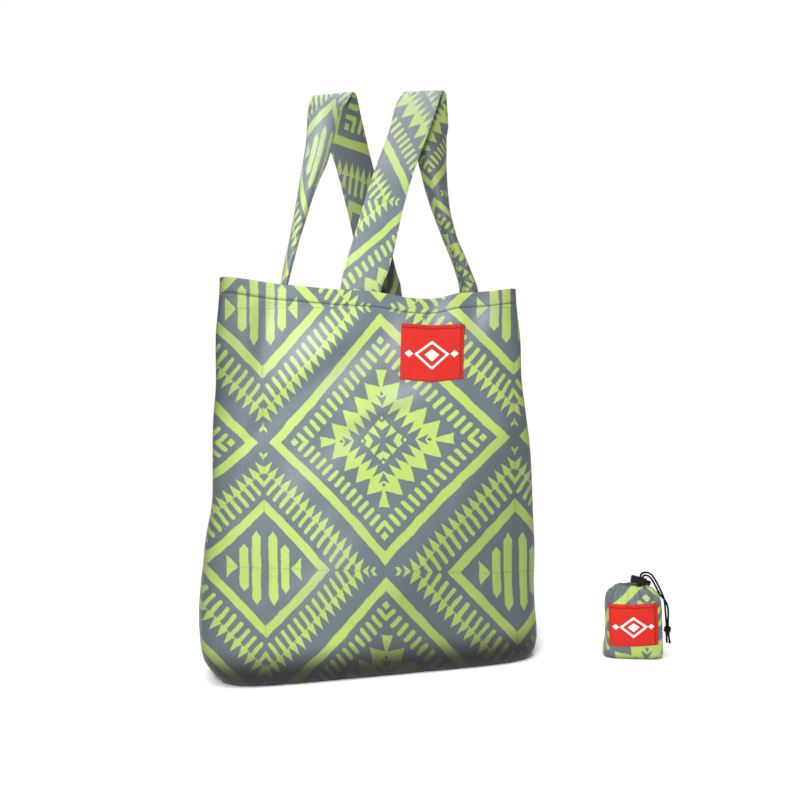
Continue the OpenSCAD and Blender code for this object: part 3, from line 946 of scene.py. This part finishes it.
def inner_tapes():
    z0 = np.arange(14, BAG_H - 20, 6.0)
    for side, name in ((-1, "left"), (1, "right")):
        x = bag_row(z0, 1 if side < 0 else 2) - side * 7.5
        line = np.stack([x, np.full_like(x, 0.6), z0], axis=-1)
        tape(f"{name}_seam_tape", line, (side, 0, 0), 10, f"{name}_seam_binding")
    x = np.linspace(-156, 179, 90)
    line = np.stack([x, np.zeros_like(x), np.full_like(x, 1.2)], axis=-1)
    tape("base_seam_tape", line, (0, 1, 0), 12, "base_seam_binding")
    y = np.linspace(-26, 26, 20)
    for x, name in ((-162.0, "left"), (187.0, "right")):
        line = np.stack([np.full_like(y, x), y, np.full_like(y, 1.6)], axis=-1)
        tape(f"{name}_corner_tape", line, (-1, 0, 0), 10, f"{name}_corner_binding")


inner_tapes()


# ---------------------------------------------------------------- patches
def patch_piece(name, find, middle, size, material, body, node, dip, lean=0.0, tilt=0.0):
    """A patch sewn on a shell, its lower edge a shallow V. find gives points on the shell."""
    width, height = size

    def place(u, v):
        """Points on the patch as points on the shell: its middle sags, and it leans and tilts."""
        sag = dip * (1 - np.abs(u) / (width / 2)) * (0.75 - 0.25 * v / (height / 2))
        return middle[0] + u + lean * v, middle[1] + v + tilt * u - sag

    nx, nz = 61, 49
    u = np.linspace(-width / 2, width / 2, nx)
    v = np.linspace(-height / 2, height / 2, nz)
    gu, gv = np.meshgrid(u, v)
    lift = np.full(gu.shape, 0.9)
    rim = np.minimum(width / 2 - np.abs(gu), height / 2 - np.abs(gv))
    lift = lift - 0.55 * np.exp(-rim / 0.8) + 0.25 * np.exp(-(((gv - (height / 2 - 3)) / 2.0) ** 2))
    lift = lift + 0.3 * lumps(np.stack([gu, gv, gu * 0], -1), 17, 4)
    p, n = find(*[part.ravel() for part in place(gu, gv)])
    verts = p + n * lift.ravel()[:, None] * MM
    uv = np.stack([gu, gv], -1) * MM
    obj = new_object(name, verts, grid_faces(nz, nx), {"Cloth": uv}, [material])
    solidify(obj, 0.8 * MM)
    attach(obj, body)
    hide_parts(node)
    inset = 2.6
    corners = [(-1, -1), (1, -1), (1, 1), (-1, 1), (-1, -1)]
    pile = Pile()
    for (x0, z0), (x1, z1) in zip(corners[:-1], corners[1:]):
        t = np.linspace(0, 1, 60)
        su = (x0 + (x1 - x0) * t) * (width / 2 - inset)
        sv = (z0 + (z1 - z0) * t) * (height / 2 - inset)
        p, n = find(*place(su, sv))
        pile.stitches(p + n * 1.15 * MM, n, pitch=2.8, length=2.1, radius=0.22)
    thread = pile.object(name + "_stitching", RED_THREAD)
    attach(thread, body)


patch_piece("bag_patch", bag_front_at, (73.9, 379), BAG_PATCH, PATCH_BIG, "bag", "front_patch",
            dip=4, lean=0.05)


# ---------------------------------------------------------------- handles
STRAP_W = 54.0
STRAP_ROWS = 420
STRAP_COLUMNS = 41
HALF_CIRCLE = 0.637  # a half circle's chord over its length
# Stations along a strap: left edge x and z, right edge x and z, y, all in millimetres.
FRONT_STRAP = [
    (-40, 432, 12, 432, -16.6), (-39.5, 446, 12, 446, -17.4),
    (-37, 458, 13, 458, -18), (-33, 478, 20, 474, -19.2), (-24, 508, 27, 500, -20.5),
    (-10, 555, 38, 550, -21.5), (4, 598, 53, 600, -21.5), (20, 640, 70, 644, -20.5),
    (29, 672, 82, 677, -18), (38, 689, 89, 695, -15), (45, 694, 93, 699, -11.5),
    (48, 689, 97, 694, -8.5), (52, 660, 100, 664, -5.5), (65, 618, 102, 615, -4.5),
    (78, 574, 104, 574, -5), (88, 545, 107, 545, -6.5), (98.5, 518, 114.5, 518, -8),
    (108, 493, 126, 493, -9.5), (115.5, 472, 134, 472, -11), (118, 458, 139, 458, -12.5),
    (117, 444, 141, 444, -13.5), (116, 434, 142, 434, -14),
]
BACK_STRAP = [
    (-102.5, 440, -94, 440, 15), (-102.5, 452, -94.5, 452, 15),
    (-101.5, 463, -94, 463, 15), (-91.5, 515, -79.5, 518, 15), (-81.5, 572, -61.5, 575, 13.5),
    (-75, 610, -46, 612, 12), (-71, 641, -36, 645, 9.5), (-71.5, 667, -28, 674, 7),
    (-70, 681, -20.5, 689.5, 5.5), (-65, 686, -15.5, 695, 8.5), (-62, 681, -11, 689, 12),
    (-58, 660, -4, 662, 15.5), (-41, 619, 7, 620, 18), (-30, 584, 18, 580, 19.5),
    (-14, 523, 32, 520, 20), (-3, 482, 42, 480, 19), (2, 463, 47, 463, 18),
    (2, 450, 48, 450, 17.4), (1, 438, 49, 438, 16.8),
]


def solve(low, high, too_low):
    """The number between low and high up to which too_low is true."""
    for _ in range(40):
        middle = (low + high) / 2
        low, high = (middle, high) if too_low(middle) else (low, middle)
    return middle


def bow(turn, a, b, count):
    """An ellipse's lowest part, to an angle on either side."""
    phi = np.linspace(-turn, turn, count)
    return np.stack([a * np.sin(phi), b * (1 - np.cos(phi))], -1)


def curl_of(chord):
    """The section of a strap squeezed to a chord: offsets across and behind, evenly spaced."""
    flat = float(smooth((chord - 44) / 3))
    width = 51 * (1 - flat) + max(chord * 1.004, 40) * flat
    share = min(chord / width, 0.996)
    if share > HALF_CIRCLE:
        turn = solve(1e-3, math.pi / 2, lambda t: math.sin(t) / t > share)
        a = b = width / 2 / turn
    else:
        turn = math.pi / 2 + math.pi / 4 * float(smooth((HALF_CIRCLE - share) / 0.35))
        a = chord / 2
        b = solve(0.0, 60.0, lambda b: length_of(bow(turn, a, b, 200)) < width)
    return evenly(bow(turn, a, b, 241), STRAP_COLUMNS)


def strap_grid(stations):
    """Rows of points along a strap, and how far along it each row is.

    A strap that is squeezed narrow curls its edges to the back on both of its legs, and it is flat
    where it folds over at the top.
    """
    rows = spline(stations, STRAP_ROWS)
    left = np.stack([rows[:, 0], rows[:, 4], rows[:, 1]], axis=-1)
    right = np.stack([rows[:, 2], rows[:, 4], rows[:, 3]], axis=-1)
    middle = (left + right) / 2
    along = unit(np.gradient(middle, axis=0))
    across = unit(right - left)
    grid = []
    for i in range(len(rows)):
        curl = curl_of(float(np.linalg.norm(right[i] - left[i])))
        back = np.array([0, 1.0, 0]) - along[i, 1] * along[i]
        grid.append(middle[i] + curl[:, :1] * across[i] + curl[:, 1:] * back)
    return np.array(grid), run_along(middle)


def behind_cloth(grid, side):
    """Keep the part of a strap below the rim inside the panel that it is sewn to."""
    x, z = grid[..., 0], grid[..., 2]
    front = side < 0
    z0 = z * BAG_H / rim_height(x, front)
    wall = np.abs(bag_point(bag_share(x, z0), np.minimum(z0, BAG_H), front)[..., 1]) - 2.6
    below = smooth((rim_height(x, front) + 4 - z) / 6)
    depth = grid[..., 1] * side
    grid[..., 1] = side * (depth * (1 - below) + np.minimum(depth, wall) * below)
    return grid


def handle(name, stations, materials, nodes, side):
    """A strap of two layers, stitched along both edges, with its ends sewn inside the hem."""
    grid, run = strap_grid(stations)
    wave = 0.5 * lumps(grid, 22, 6)
    du = unit(np.gradient(grid, axis=1))
    dv = unit(np.gradient(grid, axis=0))
    normal = unit(np.cross(du, dv))
    grid = behind_cloth(grid + normal * wave[..., None], side)
    u = np.linspace(-STRAP_W / 2, STRAP_W / 2, STRAP_COLUMNS)
    uv = np.stack(np.meshgrid(u, run), axis=-1) * MM
    # Painted highlights on the strap's outer face, stronger towards the top of the loop.
    painted_highlight = 0.18 + 0.2 * lumps(grid, 60, 7)
    painted_highlight *= 0.6 + 0.9 * smooth((grid[..., 2] - 560) / 110)
    strap_highlight = np.stack([np.zeros_like(painted_highlight), np.clip(painted_highlight, 0, 0.5)], axis=-1)
    obj = new_object(name, grid * MM, grid_faces(STRAP_ROWS, STRAP_COLUMNS),
                     {"Print": uv, "Cloth": uv, "PaintedLight": strap_highlight}, materials)
    solidify(obj, 1.2 * MM, offset=0, inner_material=True)
    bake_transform(obj)
    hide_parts(*nodes)
    pile = Pile()
    for column in (2, STRAP_COLUMNS - 3):
        for face in (-1, 1):
            pile.stitches((grid[:, column] + normal[:, column] * 0.66 * face) * MM,
                          normal[:, column] * face)
    thread = pile.object(name + "_stitching", THREAD)
    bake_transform(thread)


handle("front_strap", FRONT_STRAP, STRAP_FRONT,
       ["front_handle", "front_handle_left_end", "front_handle_right_end"], -1)
handle("back_strap", BACK_STRAP, STRAP_BACK,
       ["back_handle", "back_handle_left_end", "back_handle_right_end"], 1)


# ---------------------------------------------------------------- pouch
# Rows of the pouch, as BAG_ROWS are of the bag.
POUCH_ROWS = np.array([
    (0, -35, 33, 14, 4),
    (1.5, -36.5, 34.5, 16, 4),
    (6, -36.8, 35.5, 17.5, 4),
    (14, -35.2, 35.5, 19, 3.8),
    (24, -33.6, 35.3, 19.6, 3.7),
    (38, -33.2, 35, 20, 3.6),
    (60, -34.3, 34.5, 19.5, 3.4),
    (70, -33.5, 33.5, 18.5, 3),
    (76, -32, 32, 17.5, 2.7),
    (80, -29.5, 29.5, 16.5, 2.5),
    (84, -25, 25, 14.5, 2.3),
    (86.5, -21, 21, 12.5, 2.1),
    (88, -18, 18, 11.5, 2),
])
MOUTH = np.array([11.0, 0])  # where the gathers close, in millimetres from the pouch's middle


def pouch_point(sx, z0, front):
    """Points of the pouch in its own frame, in millimetres."""
    left, right = table(POUCH_ROWS, z0, 1), table(POUCH_ROWS, z0, 2)
    x = (left + right) / 2 + (right - left) / 2 * sx
    y = table(POUCH_ROWS, z0, 3) * rounded(sx, table(POUCH_ROWS, z0, 4))
    flat = np.stack([x, z0, np.full_like(x, 0.0 if front else 60.0)], axis=-1)
    bulge = 1.3 * lumps(flat, 26, 8) + 0.5 * lumps(flat, 9, 9)
    angle = np.arcsin(np.clip(sx, -1, 1))
    gather = smooth((z0 - 58) / 22) * (1 - 0.45 * smooth((z0 - 84) / 4))
    pleat = np.cos(angle * 13 + 1.3 * np.sin(z0 / 7)) * 1.35 * gather
    out = (bulge * smooth(z0 / 8) + pleat) * np.sqrt(np.clip(1 - sx**4, 0, 1))
    y = np.maximum(y + out, 0)
    x = x + np.sin(angle) * pleat * 0.5
    z = z0 + 1.1 * gather * np.cos(angle * 6.5 + 0.6) * smooth((z0 - 70) / 14)
    return np.stack([x, -y if front else y, z], axis=-1)


def pouch_painted_shade(rows, end):
    """Painted shade on the pouch's cloth: near the floor, and inside its gathers, past row end."""
    dark = 0.55 * smooth((7 - rows[..., 2]) / 7) ** 1.3
    inside = np.clip((np.arange(len(rows)) - end) / 3, 0, 1)[:, None]
    dark = np.maximum(dark, 0.5 * inside)
    return np.stack([dark, np.zeros_like(dark)], axis=-1)


def pouch_panel(name, front):
    """One panel, from the base seam, up to the gathers, and in over the mouth."""
    sx = columns_of(121)
    z0 = np.concatenate([[0, 0.4, 0.9, 1.5, 2.4, 3.6, 5], np.arange(6.5, 86, 1.1), [86, 87, 87.6, 88]])
    walls = pouch_point(*np.meshgrid(sx, z0), front)
    base = []
    for share in np.linspace(0, 0.94, 9):
        row = walls[0].copy()
        row[:, 1] *= share
        row[:, 2] = BASE_Z
        base.append(row)
    inner = []
    for share in (0.02, 0.08, 0.16, 0.26, 0.38, 0.5, 0.62, 0.74, 0.86, 0.97):
        row = walls[-1].copy()
        row[:, :2] = row[:, :2] * (1 - share * 0.9) + MOUTH * smooth(share) * share * 0.9
        row[:, 1] *= 1 - share * 0.75
        row[:, 2] += 1.2 * math.sin(share * math.pi) - 2.2 * share
        inner.append(row)
    rows = np.concatenate([base, walls, inner])
    start, end = len(base), len(base) + len(walls)
    uv = np.stack(cloth_runs(rows, start), axis=-1) * MM
    obj = new_object(name, placed(rows.reshape(-1, 3), POUCH),
                     grid_faces(len(rows), len(sx), flip=not front),
                     # Painted shade near the floor and inside the gathers, carried in a UV map.
                     {"Print": uv, "Cloth": uv, "PaintedLight": pouch_painted_shade(rows, end)},
                     [POUCH_CLOTH, POUCH_REVERSE])
    solidify(obj, CLOTH_T * MM, inner_material=True)
    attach(obj, "pouch")
    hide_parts("pouch_front_panel" if front else "pouch_back_panel", "pouch_channel_lining")


pouch_panel("pouch_front_cloth", True)
pouch_panel("pouch_back_cloth", False)


def pouch_front_at(x, z):
    def find(x, z):
        half = (table(POUCH_ROWS, z, 2) - table(POUCH_ROWS, z, 1)) / 2
        return placed(pouch_point(np.clip(x / half, -1, 1), z, True), POUCH)
    return on_shell(find, x, z, 0.8)


patch_piece("pouch_label_patch", pouch_front_at, (-2.2, 43.3), POUCH_PATCH, PATCH_SMALL, "pouch",
            "pouch_patch", dip=1.3, tilt=0.05)


# ---------------------------------------------------------------- drawcord, knot and lock
def braid(pile, line, count, matrix=POUCH, sides=24, flare=1):
    """A braided cord along a line in millimetres."""
    pile.tube(placed(spline(line, count), matrix), CORD_R * MM * flare, sides, braid=0.1)


def cord_piece(name, lines, node, body, matrix=POUCH):
    """A piece of the cord along lines in millimetres."""
    pile = Pile()
    for line in lines:
        braid(pile, line, max(12, int(length_of(line) / 0.4)), matrix)
    obj = pile.object(name, CORD)
    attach(obj, body)
    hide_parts(node)
    return obj


def knot_lines():
    """A knot of two turns, fullest in its middle, a slanting turn over them, and the strands into it."""
    turns, over = [], []
    for t in np.linspace(0, 1, 60):
        angle = t * 2.35 * 2 * math.pi
        r = 2.0 + 1.35 * math.sin(t * math.pi)
        turns.append(KNOT_AT + Vector(
            (r * math.cos(angle), r * 0.9 * math.sin(angle), 3.4 - 6.8 * t)))
    for t in np.linspace(0, 1, 16):
        angle = -2.4 + t * 2.6
        r = 2.4 + 1.4 * math.sin(t * math.pi)
        over.append(KNOT_AT + Vector((r * math.cos(angle), r * math.sin(angle), -3.4 + 6.8 * t)))
    inner_end = [INNER_ROUTE[-1], (41.6, -6, 38), (41.2, -6.3, 34)]
    outer_end = [OUTER_ROUTE[-1], (39.8, -7.3, 38), (40.4, -6.9, 34)]
    return [turns, over, inner_end, outer_end]


def tail_end(pile, line):
    """The cord's sealed end: a short flared tip."""
    braid(pile, line, 30, flare=1 + 0.16 * smooth((np.arange(30) - 25) / 4))


def drawcord():
    loop = [(14.2 * math.cos(math.radians(a)), 8.5 * math.sin(math.radians(a)), 86.0)
            for a in np.arange(-34, 281, 15.7)]
    cord_piece("drawcord_in_channel", [loop], "drawcord_loop", "pouch")
    necks = [[(11.75 + side * 1.4, 0, z) for z in (-7.25, -6, -4.75)] for side in (-1, 1)]
    cord_piece("drawcord_risers", necks, "drawcord_neck", "pouch", LOCK)
    pile = Pile()
    for line in knot_lines():
        braid(pile, line, 90, sides=20)
    tail_end(pile, LEFT_TAIL)
    tail_end(pile, RIGHT_TAIL)
    knot = pile.object("cord_knot_and_tails", CORD)
    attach(knot, "cord_lock")
    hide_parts("drawcord_knot")
    for name, route, node, extra in (
        ("inner_strand", INNER_ROUTE, "drawcord_inner_strand", [knot]),
        ("outer_strand", OUTER_ROUTE, "drawcord_outer_strand", []),
    ):
        obj = cord_piece(name, [route], node, "cord_lock")
        path = placed(spline(route, 160), POUCH)
        length_of(path)


drawcord()


def dress(node, material):
    """Give a CAD node that is seen as it is a material."""
    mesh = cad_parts[node].data
    mesh.materials.clear()
    mesh.materials.append(material)


dress("cord_lock_barrel", plastic_material("lock_barrel", srgb(5, 5, 6), srgb(15, 15, 17), 0.26))
dress("cord_lock_plunger", plastic_material("lock_plunger", srgb(6, 6, 7), srgb(18, 18, 20), 0.3))


def lock_spring():
    """The spring in the barrel, which the button presses together."""
    wire, coil, foot, run, turns, travel = 0.5, 2.2, 2.3, 6.2, 4, 3.0
    t = np.linspace(0, 1, 40 * turns)
    angle = 2 * math.pi * turns * t
    line = np.stack([foot + run * t, coil * np.cos(angle), coil * np.sin(angle)], axis=-1)
    pile = Pile()
    pile.tube(placed(line, LOCK), wire / 2 * MM, sides=12)
    obj = pile.object("lock_spring", steel_material())
    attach(obj, "cord_lock")
    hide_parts("cord_lock_spring")
    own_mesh(obj)


lock_spring()


# ---------------------------------------------------------------- sizes and finish
def plain(box):
    return [[float(x) for x in corner] for corner in box]


{"cad": plain(CAD_BOX), "visual": plain(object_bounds())}
